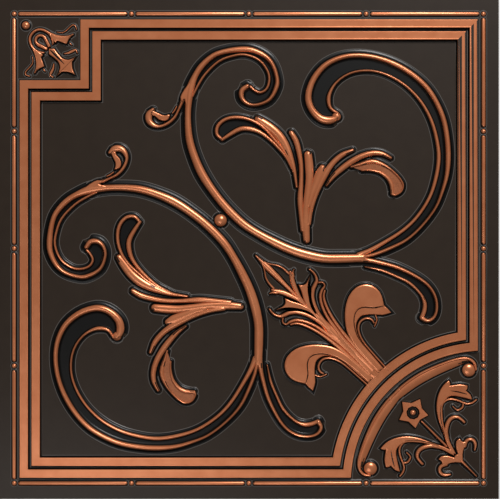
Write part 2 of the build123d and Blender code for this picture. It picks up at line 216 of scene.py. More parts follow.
MIDRIB = [
    (8.4, -8.4, 1.4), (14, -14, 3.6), (20, -20, 6.6), (28, -28, 6.4), (38, -38, 5), (50, -50, 3.6),
    (62, -62, 2.6), (72, -72, 3), (88, -88, 8), (110, -110, 11), (152.6, -152.6, 13),
]
FROND_THREAD = [
    (192, -231.4, 2.4), (186, -234, 2.2), (182, -239.4, 2.2), (181.4, -246, 2.2),
    (183.6, -253.6, 2), (186.8, -262, 2), (185.8, -269, 2), (182, -274, 1.6),
]
FROND_LEAFLET = [(186.4, -258, 1.8), (190.6, -257.6, 2), (193.4, -254.6, 2), (194.4, -250.6, 1.6),
                 (190, -245.6, 1)]
CORNER_CURLS = [
    [(234, -240.4, 3.4), (222, -237.6, 4.2), (213, -238.6, 4.4), (206.4, -241.8, 4.2),
     (203, -247, 3.8), (203.6, -253, 3), (209, -259.4, 2.6)],
    [(238, -259.4, 4.6), (231.8, -262, 3.6), (229.6, -266.4, 3.4), (231.6, -271, 3.4),
     (236.6, -272.8, 3), (242.4, -272, 1.8)],
]
PANEL_RINGS = [
    [(-247, 235.8, 2), (-253, 236.6, 2.6), (-259, 240.4, 2.6), (-263, 247, 2.6), (-263.6, 254, 2.6),
     (-260, 260, 2.6), (-254, 263.6, 2.6), (-247, 263, 2.6), (-240, 259.4, 2.4), (-233, 256.6, 2.2),
     (-225, 255, 2.2), (-217, 255.4, 2.2), (-211.6, 257.8, 1.4)],
    [(-243.6, 241, 2.4), (-249.6, 244, 2.6), (-254.6, 246.6, 2.6), (-256.6, 250.6, 2.6),
     (-254.6, 255.4, 2.6), (-250.6, 256.8, 2.6), (-246, 254.8, 2.6), (-243.2, 250, 2.6),
     (-240, 243.8, 2.4)],
]
PANEL_HOOKS = [
    [(-222.6, 234.8, 1), (-217, 235.8, 2.4), (-212.4, 238, 2.8), (-208.6, 239.2, 1.6),
     (-206.8, 235.6, 1)],
    [(-216, 247.6, 1), (-213.6, 245.4, 1)],
    [(-231, 260.8, 0.8), (-223.6, 260.4, 1), (-217.4, 265, 1.2), (-213, 269, 1.2),
     (-209.4, 268.6, 1.2), (-207.6, 264, 1)],
]
FLOWER_STEM = [(208, -208, 1.6), (220, -220, 2), (238, -238, 2.2)]
CORNER_SPIKE = [(256, -256, 3), (264, -264, 1.8), (274, -274, 1)]
CRESCENT = [
    (171.6, -186, 5), (184, -173.6, 8.6), (201, -161, 9.6), (219, -150.8, 9.6), (235, -143.4, 9.2),
    (247, -138.6, 8.6), (256, -135.6, 7), (263, -134.4, 4),
]
CRESCENT_LIP = [
    (169.8, -181, 2.2), (179.6, -170.2, 2.4), (190, -161.4, 2.4), (205, -151.4, 2.4),
    (220, -144, 2.4), (236, -137.6, 2.4), (250, -133.2, 2.6), (259, -131.8, 2.8),
    (266.6, -133.6, 3), (272, -138.6, 2.8), (273.4, -146, 2),
]
print("spray routes", len(SPRAY_FRONDS + SPRAY_CURLS), "palmette routes", len(PALMETTE_LEAVES))

# %% [markdown]
# Broad leaves. Where the real leaf is a flat or gently bowed body, a line down its middle is
# not enough, so it is drawn as an outline. Each outline is a few smooth edges that meet at the
# leaf's sharp tips and notches. Grooves pressed into the leaves are routes of their own.

# %% Broad leaves and grooves
BUD_BACK = [
    (160.6, -60), (156.8, -51.4), (149, -45), (139, -43.2), (129, -47), (120.6, -57),
    (116.2, -72), (116, -88), (119.4, -103), (130, -120), (154.6, -148),
]
BUD_HEAD = [
    [(161.8, -144), (148, -128), (139, -117.6), (132, -106.6), (128.8, -95), (130.6, -86.4),
     (137, -80.2), (150, -79), (161, -79.8), (171, -77)],
    [(171, -77), (167, -72.4), (162.6, -68.4)],
    [(162.6, -68.4)] + BUD_BACK,
    [(154.6, -148), (161.8, -144)],
]
BUD_CAP = [
    [(161.4, -144), (147, -128.4), (137.6, -116.4), (130.6, -104.6), (127.4, -93), (127.2, -82),
     (130.4, -74), (137, -70.8), (145, -71), (153, -71.6), (162.2, -68.6)],
    [(162.2, -68.6)] + BUD_BACK,
    [(154.6, -148), (161.4, -144)],
]
BUD_CREASE = [
    (166, -70.6, 0.6), (159.6, -69.8, 1.6), (150, -71.6, 2.2), (140, -70.8, 2.4), (132, -73.4, 2.4),
    (127.6, -80.6, 2.2), (127, -92, 1.8), (130.4, -104.6, 1.4), (138, -117, 0.6),
]
PALMETTE_LOBE = [
    [(65, -64.6), (61.6, -54), (57.4, -45.6), (54.6, -37), (53, -31), (53.8, -25.8)],
    [(53.8, -25.8), (50, -26.4), (46.6, -29)],
    [(46.6, -29), (41, -24.4), (34, -20.4), (25.6, -18.8)],
    [(25.6, -18.8), (34, -27), (44, -38), (54, -50), (65, -64.6)],
]
LOBE_RIBS = [
    [(49.8, -28, 2.4), (51.2, -33, 4.6), (53, -41, 5.4), (56.6, -50, 5), (61, -58.6, 3.8),
     (68, -68, 3)],
    [(54.4, -25.2, 1), (53, -29, 2.6), (53.4, -34, 3)],
    [(18, -16.2, 1), (27, -19, 1.4), (35, -20.4, 1.8), (42, -24.4, 2), (48, -30, 2.4)],
    [(27, -23, 0.8), (36, -32, 1), (46, -44, 1), (57, -56.6, 0.8)],
]
PALMETTE_PETAL = [
    [(90, -91), (82, -80.4), (75.4, -70), (72.4, -58), (71.4, -46), (73.6, -33)],
    [(73.6, -33), (70, -41), (65.6, -44.2), (60, -43.6)],
    [(60, -43.6), (63.6, -52), (66.6, -62), (73.6, -75), (90, -91)],
]
HOOK_JOIN = [
    [(-80.6, 175), (-82, 182), (-78, 190), (-70, 201), (-62, 211)],
    [(-62, 211), (-64.6, 200), (-67.6, 188), (-70, 177)],
    [(-70, 177), (-75.6, 173), (-77, 180), (-80.6, 175)],
]
HOOK_TONGUE = [
    [(-95.2, 161.4), (-99, 160.2), (-104, 160.4), (-110, 163.4), (-116, 166)],
    [(-116, 166), (-116.6, 161), (-112.4, 159.4), (-108.6, 155.8), (-102, 153.8), (-97, 156),
     (-95.2, 161.4)],
]
FROND = [
    [(247, -249), (236, -243.4), (226, -239), (214, -234.6), (202, -233), (190, -233),
     (181.6, -236.6), (177.2, -243), (178, -253), (181.6, -268.4)],
    [(181.6, -268.4), (176, -266.4), (171, -261)],
    [(171, -261), (168.6, -262.8), (165, -263)],
    [(165, -263), (163.4, -254), (165.4, -241.6)],
    [(165.4, -241.6), (162, -242.2), (158.8, -240.6)],
    [(158.8, -240.6), (165, -234), (175, -228.6), (190, -226), (206, -228.4), (220, -233.6),
     (236, -239), (251, -247)],
]
FROND_GROOVES = [
    [(171, -243, 0.6), (172.4, -252, 1.5), (175, -262, 0.8)],
    [(228, -236.6, 0.5), (213, -232.4, 0.8), (199, -230.4, 0.8), (188, -231.4, 0.6)],
]
FLEUR = [
    [(258, -258), (248, -257), (238, -259.4), (232.6, -262)],
    [(232.6, -262), (232.4, -256.6), (228.6, -253.6)],
    [(228.6, -253.6), (232, -250), (240, -249.6), (247, -252)],
    [(247, -252), (250, -248), (254, -249), (258, -258)],
]
PANEL_LEAF = [
    [(-212, 257.6), (-220, 254.8), (-229, 255.2), (-239, 258.8)],
    [(-239, 258.8), (-237, 253), (-232.8, 247.8)],
    [(-232.8, 247.8), (-230.6, 250.4)],
    [(-230.6, 250.4), (-224, 248), (-219.4, 246.4)],
    [(-219.4, 246.4), (-217, 252), (-212, 257.6)],
]
PANEL_FAN = [
    [(-209.4, 209.4), (-212.6, 217), (-213, 225)],
    [(-213, 225), (-208, 230.8)],
    [(-208, 230.8), (-217, 227), (-226, 230), (-234, 240.4)],
    [(-234, 240.4), (-240.4, 240.4)],
    [(-240.4, 240.4), (-240.4, 234)],
    [(-240.4, 234), (-230, 226), (-227, 217), (-230.8, 208)],
    [(-230.8, 208), (-225, 213)],
    [(-225, 213), (-217, 212.6), (-209.4, 209.4)],
]
FAN_GROOVE = [(-238.6, 238.6, 1.2), (-234, 234, 2.4), (-228, 228, 2), (-222, 222, 0.6)]
BROAD_LEAVES = (
    BUD_HEAD, BUD_CAP, PALMETTE_LOBE, PALMETTE_PETAL, HOOK_JOIN, HOOK_TONGUE, FROND, FLEUR,
    PANEL_LEAF, PANEL_FAN,
)
print("broad leaves", len(BROAD_LEAVES), "edges", sum(len(leaf) for leaf in BROAD_LEAVES))

# %% [markdown]
# Drawing a form out. Every raised form is made the way a potter pulls a coil: the section is
# filled as a face, the face is extruded, and the new face's corners are set to the next ring.
# The result is a closed solid, which a boolean union needs. A fine grid pushed up by a height
# map could make the pattern too, but its steep walls would be stepped and it would take
# millions of faces.

# %% Draw a form out from ring to ring
def drawn_out(rings):
    """A closed form, extruded from ring to ring. A ring's points are place, copper, and glaze with
    painted light.
    """
    form = bmesh.new()
    copper = form.verts.layers.float.new("copper")
    glaze_and_painted_light = form.verts.layers.float.new("glaze_and_painted_light")
    start = [form.verts.new(place) for place, rub, dark in rings[0]]
    face = form.faces.new(start)
    for corner, (place, rub, dark) in zip(face.verts, rings[0]):
        corner[copper], corner[glaze_and_painted_light] = rub, dark
    for ring in rings[1:]:
        face = bmesh.ops.extrude_discrete_faces(form, faces=[face])["faces"][0]
        for corner, (place, rub, dark) in zip(face.verts, ring):
            corner.co = place
            corner[copper], corner[glaze_and_painted_light] = rub, dark
    form.faces.new(reversed(start))
    bmesh.ops.recalc_face_normals(form, faces=form.faces)
    return form


# %% [markdown]
# Following a route. The curve passes through the chosen points and turns evenly between them,
# and the third number, the width, is carried along as if it were a height. More places are
# taken where the route turns fast, so curls stay round without wasting faces on the long runs.

# %% Places along a route
NO_LIMIT = 1e4  # room for a wall on a straight stretch
TURN_SHARE = 0.82  # how much of a turn's radius a wall may fill
LEAST_WALL = 0.3  # share of its run that a wall keeps in the tightest turn
LEAST_CROWN = 0.5
STRAIGHT = 1e-4  # a bend below this counts as none
APART = 0.003  # keeps the points of an upright wall from falling on each other


def places_along(route, longest, sharpest):
    """Places along a smooth route, each with the width there, its heading and its bend."""
    points = [Vector(point) for point in route]
    last = len(points) - 1
    lean = []
    for number in range(last + 1):
        step = points[min(number + 1, last)] - points[max(number - 1, 0)]
        lean.append(step / max(step.xy.length, 1e-6))
    line = []
    for number in range(last):
        one, two = points[number], points[number + 1]
        reach = (two - one).xy.length / 3
        turn = degrees(lean[number].xy.angle(lean[number + 1].xy))
        count = ceil(max(3 * reach / longest, turn / sharpest, 1)) + 1
        line += interpolate_bezier(
            one, one + lean[number] * reach, two - lean[number + 1] * reach, two, count
        )[: count - 1]
    line.append(points[last])
    stations = []
    for number, place in enumerate(line):
        before, after = line[max(number - 1, 0)], line[min(number + 1, len(line) - 1)]
        heading = (after - before).xy.normalized()
        bend = 0.0
        if 0 < number < len(line) - 1:
            gap = (after - before).xy.length / 2
            bend = (place - before).xy.angle_signed((after - place).xy, 0.0) / max(gap, 1e-6)
        stations.append((place.xy, place.z, heading, bend))
    return stations


def half_section(section, foot, width, rise, run, room):
    """One half of a section as distance from the middle, height, copper, and glaze with painted
    light.
    """
    spread = run if width / 2 + run < room else max(room - width / 2, run * LEAST_WALL)
    half = [
        (crown * width / 2 + lean * spread, up * rise, rub, dark)
        for crown, lean, up, rub, dark in section
    ]
    edge = half[-1][0]
    half += [(edge + out, up, rub, dark) for out, up, rub, dark in foot]
    return half


def ring_across(place, heading, left, right, low, ahead=0):
    """A section's points across a route. With ahead, the section turns round an end."""
    side = Vector((-heading.y, heading.x))
    ring = []
    for sign, half in ((1, left), (-1, right)):
        reach, height, rub, dark = half[ahead]
        points = []
        for out, up, copper, glaze_and_painted_light in half:
            if ahead and out <= reach:
                out, up, copper, glaze_and_painted_light = reach, height, rub, dark
            across = sqrt(max(out * out - reach * reach, 0)) if ahead else out
            across = sign * (across + APART * out)
            points.append((across, up, copper, glaze_and_painted_light, reach if ahead else 0))
        points.append((points[-1][0], low, 0.0, 0.0, points[-1][4]))
        ring += points[::-1] if sign == 1 else points[1:]
    return ring, side


def ridge(route, rise, run, section=SCROLL, foot=FOOT, base=SHEET, low=-SUNK,
          longest=7.0, sharpest=9.0, narrower=0.0, nose=1, tilt=0.0):
    """A raised line along a route, with a rounded nose at both ends. Tilt lowers its right side."""
    stations = places_along(route, longest, sharpest)
    rings = []
    for number, (place, width, heading, bend) in enumerate(stations):
        width = max(width - narrower, LEAST_CROWN)
        room = TURN_SHARE / abs(bend) if abs(bend) > STRAIGHT else NO_LIMIT
        left = half_section(section, foot, width, rise, run, room if bend > 0 else NO_LIMIT)
        right = half_section(section, foot, width, rise, run, room if bend < 0 else NO_LIMIT)
        ends = range(len(left) - 1, 0, -nose) if number == 0 else []
        tips = range(nose, len(left), nose) if number == len(stations) - 1 else []
        for ahead, sign in [(a, -1) for a in ends] + [(0, 0)] + [(a, 1) for a in tips]:
            ring, side = ring_across(place, heading, left, right, low, ahead)
            rings.append([
                ((*(place + side * across + heading * sign * forward),
                  base + up * (1 - tilt * min(max(0.5 - across / width, 0), 1))), rub, dark)
                for across, up, rub, dark, forward in ring
            ])
    return drawn_out(rings)


print("a ridge has", len(ridge(TAIL, RELIEF, 4.0).faces), "faces")

# %% [markdown]
# Leaf bodies. The outline is filled and drawn up in steps, each a little further in, so the
# leaf gets the same flared wall as the ridges, and its top a thin worn rim. A crease is a wedge
# along a route of its own, cut from the finished leaf.

# %% Broad leaf bodies
LEAST_LEAN = 0.45  # stops a sharp tip from running far out when its outline is moved
# A crease's wedge carries near black into the cut: glaze and painted shade.
WEDGE = ((0.0, 0.0, 0.0, 0.0, 1.0), (0.4, 0.0, 0.1, 0.0, 1.0), (1.0, 0.0, 1.0, 0.0, 1.0))


def outset(points, spread):
    """An outline with every edge moved out by the same distance, and sharp tips kept short."""
    moved = []
    count = len(points)
    for number, here in enumerate(points):
        one = (here - points[number - 1]).normalized()
        two = (points[(number + 1) % count] - here).normalized()
        outward = Vector(((one + two).y, -(one + two).x)).normalized()
        share = max(outward.dot(Vector((two.y, -two.x))), LEAST_LEAN)
        moved.append(here + outward * spread / share)
    return moved


def outline_points(edges):
    """The points round an outline of smooth edges, counter-clockwise."""
    points = []
    for edge in edges:
        route = [(x, y, 0) for x, y in edge]
        stations = places_along(route, longest=7.0, sharpest=14.0)
        points += [place for place, width, heading, bend in stations][:-1]
    area = sum(one.x * two.y - two.x * one.y for one, two in zip(points, points[1:] + points[:1]))
    return points if area > 0 else points[::-1]


def leaf_body(edges, rise, run, copper=1.0, rim=0.9):
    """A broad leaf: its outline drawn up from the sheet to a flat top."""
    points = outline_points(edges)
    # The wall is painted near black, glaze and painted shade, and the swell at its foot gets a
    # painted grey highlight.
    foot = ((run + 1.2, -SUNK, 0, 0), (run + 1.2, -0.08, 0, 0), (run + 0.5, 0.32, 0, -1))
    wall = ((run, 0.06, 0, 1), (run * 0.6, rise * 0.10, 0, 1), (run * 0.3, rise * 0.34, 0, 1),
            (run * 0.1, rise * 0.66, 0, 1))
    top = ((0, rise * 0.86, copper, 0), (-rim * 0.5, rise * 0.97, copper, 0),
           (-rim, rise, copper, 0))
    return drawn_out([
        [((*place, SHEET + up), rub, dark) for place in outset(points, out)]
        for out, up, rub, dark in foot + wall + top
    ])


def groove(route, top, depth):
    """The cutter for a groove pressed into a leaf: a wedge along a route, whose faces paint the
    groove near black as glaze and painted shade.
    """
    return ridge(route, depth, 0.0, section=WEDGE, foot=(), base=SHEET + top - depth,
                 low=depth + 2.0)


print("a leaf body has", len(leaf_body(BUD_HEAD, 5, 2).faces), "faces")

# %% [markdown]
# Bands. The frame's flat mouldings have crisp edges and mitred corners. A ring stands at each
# corner, wider by the slant of the mitre, and an arc swings round the fan in the corner.

# %% Frame bands
BAND = (
    (0.00, 0.00, 0.97, 1.0, 0.0),
    (0.70, 0.00, 0.97, 1.0, 0.0),
    (0.80, 0.00, 1.00, 1.0, 0.0),
    (1.00, 0.00, 0.96, 1.0, 0.0),
    (1.00, 0.25, 0.80, 0.0, 1.0),
    (1.00, 1.00, 0.00, 0.0, 1.0),
)
BAND_WALL = 1.6
ARC_STEPS = 30


def closed_band(path, width, rise, run, section, foot, base=SHEET):
    """A moulding along a closed path of corners."""
    half = half_section(section, foot, width, rise, run, NO_LIMIT)
    rings = []
    count = len(path)
    for number, corner in enumerate(path):
        before = (Vector(corner) - Vector(path[number - 1])).normalized()
        after = (Vector(path[(number + 1) % count]) - Vector(corner)).normalized()
        heading = (before + after).normalized()
        slant = 1 / max(heading.dot(after), 0.2)
        ring, side = ring_across(Vector(corner), heading, half, half, -SUNK)
        rings.append([
            ((*(Vector(corner) + side * across * slant), base + up), rub, dark)
            for across, up, rub, dark, forward in ring
        ])
    form = drawn_out(rings + [rings[0]])
    caps = [face for face in form.faces if len(face.verts) > 4]
    bmesh.ops.delete(form, geom=caps, context="FACES_ONLY")
    bmesh.ops.remove_doubles(form, verts=form.verts, dist=0.001)
    bmesh.ops.recalc_face_normals(form, faces=form.faces)
    return form


def fan_point(radius, angle):
    """A point on an arc round the fan's corner."""
    turned = radians(angle)
    return FAN_CENTRE[0] + radius * cos(turned), FAN_CENTRE[1] + radius * sin(turned)


def band_path(middle, notch, radius):
    """The line of a frame band: straight sides, the step round the panel and the fan's arc."""
    corner = BEAD_RING - middle
    first = 90 + degrees(asin(corner / radius))
    last = 270 - first
    arc = [
        fan_point(radius, last + (first - last) * step / ARC_STEPS) for step in range(ARC_STEPS + 1)
    ]
    return [
        (middle, middle), (-notch, middle), (-notch, notch), (-middle, notch), (-middle, -middle),
    ] + arc


print("corners in a band's path", len(band_path(OUTER_BAND, OUTER_NOTCH, FAN_RADIUS)))

# %% [markdown]
# Round buttons. The balls and beads are turned forms, so their rings are circles about an
# upright axis, one for each row of the section, and the last is drawn to a point at the crown.

# %% Buttons and beads
BALL = (
    (0.00, 0.00, 1.00, 1.0, 0.0),
    (0.38, 0.00, 0.94, 1.0, 0.0),
    (0.70, 0.00, 0.76, 1.0, 0.0),
    (0.92, 0.00, 0.50, 0.9, 0.2),
    (1.00, 0.00, 0.24, 0.0, 1.0),
    (1.00, 0.60, 0.02, 0.0, 1.0),
    (1.00, 1.00, 0.00, 0.0, 0.6),
)


def button(x, y, radius, rise, run, foot=FOOT, sides=28):
    """A turned form: rings of points from the sheet up to the crown."""
    half = half_section(BALL, foot, radius * 2, rise, run, NO_LIMIT)
    levels = [(half[-1][0], -SUNK, 0.0, 0.0)] + half[:0:-1]
    turns = [2 * pi * side / sides for side in range(sides)]
    rings = [
        [((x + reach * cos(turn), y + reach * sin(turn), SHEET + up), rub, dark) for turn in turns]
        for reach, up, rub, dark in levels
    ]
    form = drawn_out(rings)
    top = max(form.faces, key=lambda face: face.calc_center_median().z)
    copper = form.verts.layers.float["copper"]
    middle = bmesh.ops.poke(form, faces=[top])["verts"][0]
    middle.co.z, middle[copper] = SHEET + half[0][1], half[0][2]
    return form


print("a button has", len(button(0, 0, 7, 6, 3).faces), "faces")

# %% [markdown]
# The flower. Five pointed petals stand round a bowl with a ball in it. The rings go up the
# petals' sides, over their rim and down into the bowl.

# %% Flower
FLOWER = (197.7, -197.7)
PETALS = 5
PETAL_STEPS = 4  # points along each edge of a petal
FIRST_TIP = 135  # degrees, the petal that points at the tile's middle


def star_ring(tip, valley, height, rub, dark):
    """A ring of points round the flower that swings between the petals' tips and the valleys."""
    ring = []
    for number in range(2 * PETALS):
        one, two = (tip, valley) if number % 2 == 0 else (valley, tip)
        before, after = [
            radians(FIRST_TIP + 180 // PETALS * turn) for turn in (number, number + 1)
        ]
        start = Vector((one * cos(before), one * sin(before)))
        end = Vector((two * cos(after), two * sin(after)))
        for step in range(PETAL_STEPS):
            place = start.lerp(end, step / PETAL_STEPS)
            ring.append(((FLOWER[0] + place.x, FLOWER[1] + place.y, SHEET + height), rub, dark))
    return ring


def flower():
    """The petals and their bowl."""
    # Rings that end in 1 are painted near black, glaze and painted shade, on the petals' sides and
    # in the bowl.
    return drawn_out([
        star_ring(20.6, 14.0, -SUNK, 0, 0),
        star_ring(20.6, 14.0, -0.06, 0, 0),
        star_ring(19.9, 13.4, 0.3, 0, 0),
        star_ring(19.4, 12.8, 0.06, 0, 1),
        star_ring(18.8, 12.0, 2.4, 0, 1),
        star_ring(18.2, 11.6, 3.2, 1, 0),
        star_ring(8.2, 8.2, 3.0, 1, 0),
        star_ring(7.9, 7.9, 2.4, 0, 1),
        star_ring(6.8, 6.8, 1.0, 0, 1),
        star_ring(6.2, 6.2, 1.5, 0.2, 0.2),
        star_ring(5.4, 5.4, 1.4, 0.1, 0.4),
        star_ring(4.6, 4.6, 0.6, 0, 1),
    ])


print("the flower has", len(flower().faces), "faces")

# %% [markdown]
# Shelves. Every form is a closed mesh of its own, because the union joins whole solids. They
# wait on three shelves: what stands up on the face, the creases cut into it, and the hollows cut
# from the back. A form beside the diagonal goes in twice, the second time mirrored. A copy of
# every form but the hollows is kept for its paint.

# %% Shelves and how a form gets there
DIAGONAL = Matrix(((0, -1, 0, 0), (-1, 0, 0, 0), (0, 0, 1, 0), (0, 0, 0, 1)))
outer_forms = bpy.data.collections.new("outer_forms")
grooves = bpy.data.collections.new("grooves")
inner_forms = bpy.data.collections.new("inner_forms")
painted = bmesh.new()
painted.verts.layers.float.new("copper")
painted.verts.layers.float.new("glaze_and_painted_light")


def keep(form, shelf, mirrored):
    """Puts a form, and its mirror image if it has one, on a shelf for the boolean."""
    for flip in (False, True) if mirrored else (False,):
        if flip:
            bmesh.ops.transform(form, matrix=DIAGONAL, verts=form.verts)
            bmesh.ops.reverse_faces(form, faces=form.faces)
        mesh = bpy.data.meshes.new("form")
        form.to_mesh(mesh)
        shelf.objects.link(bpy.data.objects.new("form", mesh))
        if shelf is not inner_forms:
            painted.from_mesh(mesh)
    form.free()


def pressed(route, rise, run, mirrored=True, tilt=0.0):
    """A ridge on the face with its hollow on the back."""
    keep(ridge(route, rise, run, tilt=tilt), outer_forms, mirrored)
    keep(
        ridge(route, rise * (1 - tilt), run, section=BACK, foot=(), base=0.0, longest=16.0,
              sharpest=10.0, narrower=0.9),
        inner_forms, mirrored,
    )


def pressed_leaf(edges, rise, run, mirrored=True):
    """A broad leaf on the face with its hollow on the back."""
    keep(leaf_body(edges, rise, run), outer_forms, mirrored)
    points = outline_points(edges)
    levels = ((run * 0.4, -SUNK), (-0.9, rise * 0.9), (-1.2, rise))
    rings = [[((*place, up), 0, 0) for place in outset(points, out)] for out, up in levels]
    keep(drawn_out(rings), inner_forms, mirrored)


def valley_floor(outer, inner, height, copper=0.0, glaze_and_painted_light=1.0):
    """The floor of a trough between a scroll and its rim; by default painted near black, glaze and
    painted shade.
    """
    sides = [
        [place for place, width, heading, bend in places_along(route, longest=9.0, sharpest=12.0)]
        for route in (outer, inner)
    ]
    outline = sides[0] + sides[1][::-1]
    rings = [[((x, y, SHEET + up), copper, glaze_and_painted_light) for x, y in outline] for up in (-SUNK, height)]
    keep(drawn_out(rings), outer_forms, True)


print("shelves", outer_forms.name, grooves.name, inner_forms.name)

# %% [markdown]
# Scrolls. The two large scrolls stand highest. Each has a thinner rim that runs beside it, and
# the glaze pools in the trough between the two, which lies in shade, so a floor painted near
# black as glaze and painted shade closes the trough a little above the sheet.

# %% Scrolls, their rims and the troughs
pressed(LEFT_SCROLL, rise=RELIEF, run=5.6)
pressed(RIGHT_SCROLL, rise=RELIEF, run=5.2)
pressed(TAIL, rise=RELIEF - 0.4, run=4.8)
for route in (LEFT_RIM, RIGHT_RIM, TAIL_RIM):
    pressed(route, rise=4.8, run=3.4)
valley_floor(LEFT_SCROLL[15:], LEFT_RIM[::-1], height=0.5)
valley_floor(RIGHT_SCROLL, RIGHT_RIM, height=0.5)
valley_floor(TAIL, TAIL_RIM, height=0.5)

# %% [markdown]
# Sprays. The long leaves of a spray are narrow, so they are ridges that swell and taper. The
# curled tips are two ridges with a floor between them. The hook's two small leaves have
# outlines of their own.

# %% Leaf sprays and the hook
for route in [HOOK_LEAF] + SPRAY_FRONDS + SPRAY_CURLS:
    pressed(route, rise=5.4, run=3.2)
valley_floor(SPRAY_CURLS[2], SPRAY_CURLS[3][::-1], height=3.4, copper=0.5, glaze_and_painted_light=0.4)
valley_floor(SPRAY_CURLS[0][4:], SPRAY_CURLS[1][:4][::-1], height=0.5)
pressed_leaf(HOOK_TONGUE, rise=4.6, run=2.2)
pressed_leaf(HOOK_JOIN, rise=5.6, run=3.0)

# %% [markdown]
# Palmette. Its side leaves are ridges and its lobe is a dark body with copper ribs on it. Each
# bud is a low body with a higher cap over it, so that the cap's edge throws the curved line
# that is seen on the real leaf.

# %% Palmette and buds
for route in PALMETTE_LEAVES:
    pressed(route, rise=5.2, run=2.2)
keep(leaf_body(PALMETTE_LOBE, rise=1.6, run=1.6, copper=0.0), outer_forms, True)
for route in LOBE_RIBS[:3]:
    keep(ridge(route, rise=4.8, run=1.8), outer_forms, True)
keep(ridge(LOBE_RIBS[3], rise=2.8, run=0.8), outer_forms, True)
pressed_leaf(PALMETTE_PETAL, rise=4.6, run=2.4)
pressed_leaf(BUD_HEAD, rise=3.4, run=2.8)
keep(leaf_body(BUD_CAP, rise=5.4, run=1.4, rim=1.6), outer_forms, True)
pressed(BUD_CURL, rise=4.6, run=2.2)
for route in (HOOK_THREAD, BUD_THORN):
    keep(ridge(route, rise=2.6, run=1.4), outer_forms, True)

# %% [markdown]
# Fan and panel. The plant in the fan and the small ornament in the panel are lower than the
# scrolls. The crescent leans: it is high along its lip and falls away to the other side.

# %% Fan plant, panel ornament and crescent
pressed_leaf(FROND, rise=4.2, run=2.0)
pressed_leaf(FLEUR, rise=4.2, run=2.0)
for route in CORNER_CURLS:
    pressed(route, rise=4.2, run=2.2)
for route in (FROND_THREAD, FROND_LEAFLET):
    keep(ridge(route, rise=3.6, run=1.8), outer_forms, True)
pressed_leaf(PANEL_LEAF, rise=4.0, run=1.8)
for route in PANEL_RINGS:
    keep(ridge(route, rise=3.8, run=1.6), outer_forms, True)
for route in PANEL_HOOKS:
    keep(ridge(route, rise=2.0, run=1.2), outer_forms, True)
pressed_leaf(PANEL_FAN, rise=4.0, run=1.8, mirrored=False)
pressed(CRESCENT, rise=4.4, run=2.0, tilt=0.5)
keep(ridge(CRESCENT_LIP, rise=4.8, run=1.8), outer_forms, True)
for route in (MIDRIB, FLOWER_STEM, CORNER_SPIKE):
    pressed(route, rise=4.8, run=2.4, mirrored=False)
keep(flower(), outer_forms, False)

# %% Creases
keep(groove(BUD_CREASE, top=5.4, depth=2.1), grooves, True)
keep(groove(FAN_GROOVE, top=4.0, depth=1.6), grooves, False)
for route in FROND_GROOVES:
    keep(groove(route, top=4.2, depth=1.2), grooves, True)

# %% [markdown]
# Frame. Two flat bands step round the panel and swing round the fan. Outside them a line of
# round bars runs from bead to bead, and balls sit where the scrolls pass and the curls end.

# %% Bands, bead line and buttons
for middle, notch, radius in (
    (OUTER_BAND, OUTER_NOTCH, FAN_RADIUS),
    (INNER_BAND, INNER_NOTCH, FAN_RADIUS + OUTER_BAND - INNER_BAND),
):
    path = band_path(middle, notch, radius)
    band = closed_band(path, BAND_TOP, BAND_RISE, BAND_WALL, BAND, FOOT)
    keep(band, outer_forms, False)
    hollow = closed_band(path, BAND_TOP - 1.0, BAND_RISE, BAND_WALL, BACK, (), base=0.0)
    keep(hollow, inner_forms, False)
for quarter in range(4):
    turn = Matrix.Rotation(quarter * pi / 2, 3, "Z")
    for bar in range(4):
        middle = (bar - 1.5) * BEAD_PITCH
        reach = BEAD_PITCH / 2 - BAR_GAP
        ends = [turn @ Vector((middle + side * reach, BEAD_RING, 0)) for side in (-1, 1)]
        route = [(end.x, end.y, BAR_CROWN) for end in ends]
        keep(ridge(route, rise=BEAD_RISE, run=1.4, longest=200.0, nose=2), outer_forms, False)
    for bead in range(4):
        place = turn @ Vector(((bead - 2) * BEAD_PITCH, BEAD_RING, 0))
        round_bead = button(*place.xy, radius=2.9, rise=BEAD_RISE, run=0.9, sides=20)
        keep(round_bead, outer_forms, False)
keep(button(-34, 34, radius=7.6, rise=RELIEF, run=2.6), outer_forms, False)
keep(button(-268.7, 269.0, radius=4.8, rise=4.4, run=1.8), outer_forms, False)
keep(button(*FLOWER, radius=3.4, rise=3.4, run=0.4, foot=()), outer_forms, False)
keep(button(265, -146.5, radius=8.0, rise=4.4, run=2.4), outer_forms, True)
keep(button(105.6, 158.8, radius=5.4, rise=5.7, run=2.2), outer_forms, True)

# %% [markdown]
# One sheet. The flat sheet takes all the raised forms in one union. Then the creases are cut
# into the face and the hollows from the back, which leaves a skin as thin over the pressed
# crowns as on the open ground. Threads, ribs, beads, bars and balls have no hollow and stay
# solid. The creases of the fronds and of the panel's fan are deeper than the skin is thick, so
# they open into the hollow behind. The manifold solver takes seconds because every form is
# closed. The blank is a grid, because one huge ground face would split into bad triangles.

# %% Join and hollow
def solved(mesh, shelf, operation):
    """The mesh after a boolean with every form on a shelf."""
    carrier = bpy.data.objects.new("carrier", mesh)
    bpy.context.scene.collection.objects.link(carrier)
    bpy.context.scene.collection.children.link(shelf)
    boolean = carrier.modifiers.new("boolean", "BOOLEAN")
    boolean.operation = operation
    boolean.solver = "MANIFOLD"
    boolean.operand_type = "COLLECTION"
    boolean.collection = shelf
    graph = bpy.context.evaluated_depsgraph_get()
    result = bpy.data.meshes.new_from_object(carrier.evaluated_get(graph))
    for holder in [carrier, *shelf.objects]:
        bpy.data.objects.remove(holder)
    bpy.data.collections.remove(shelf)
    return result


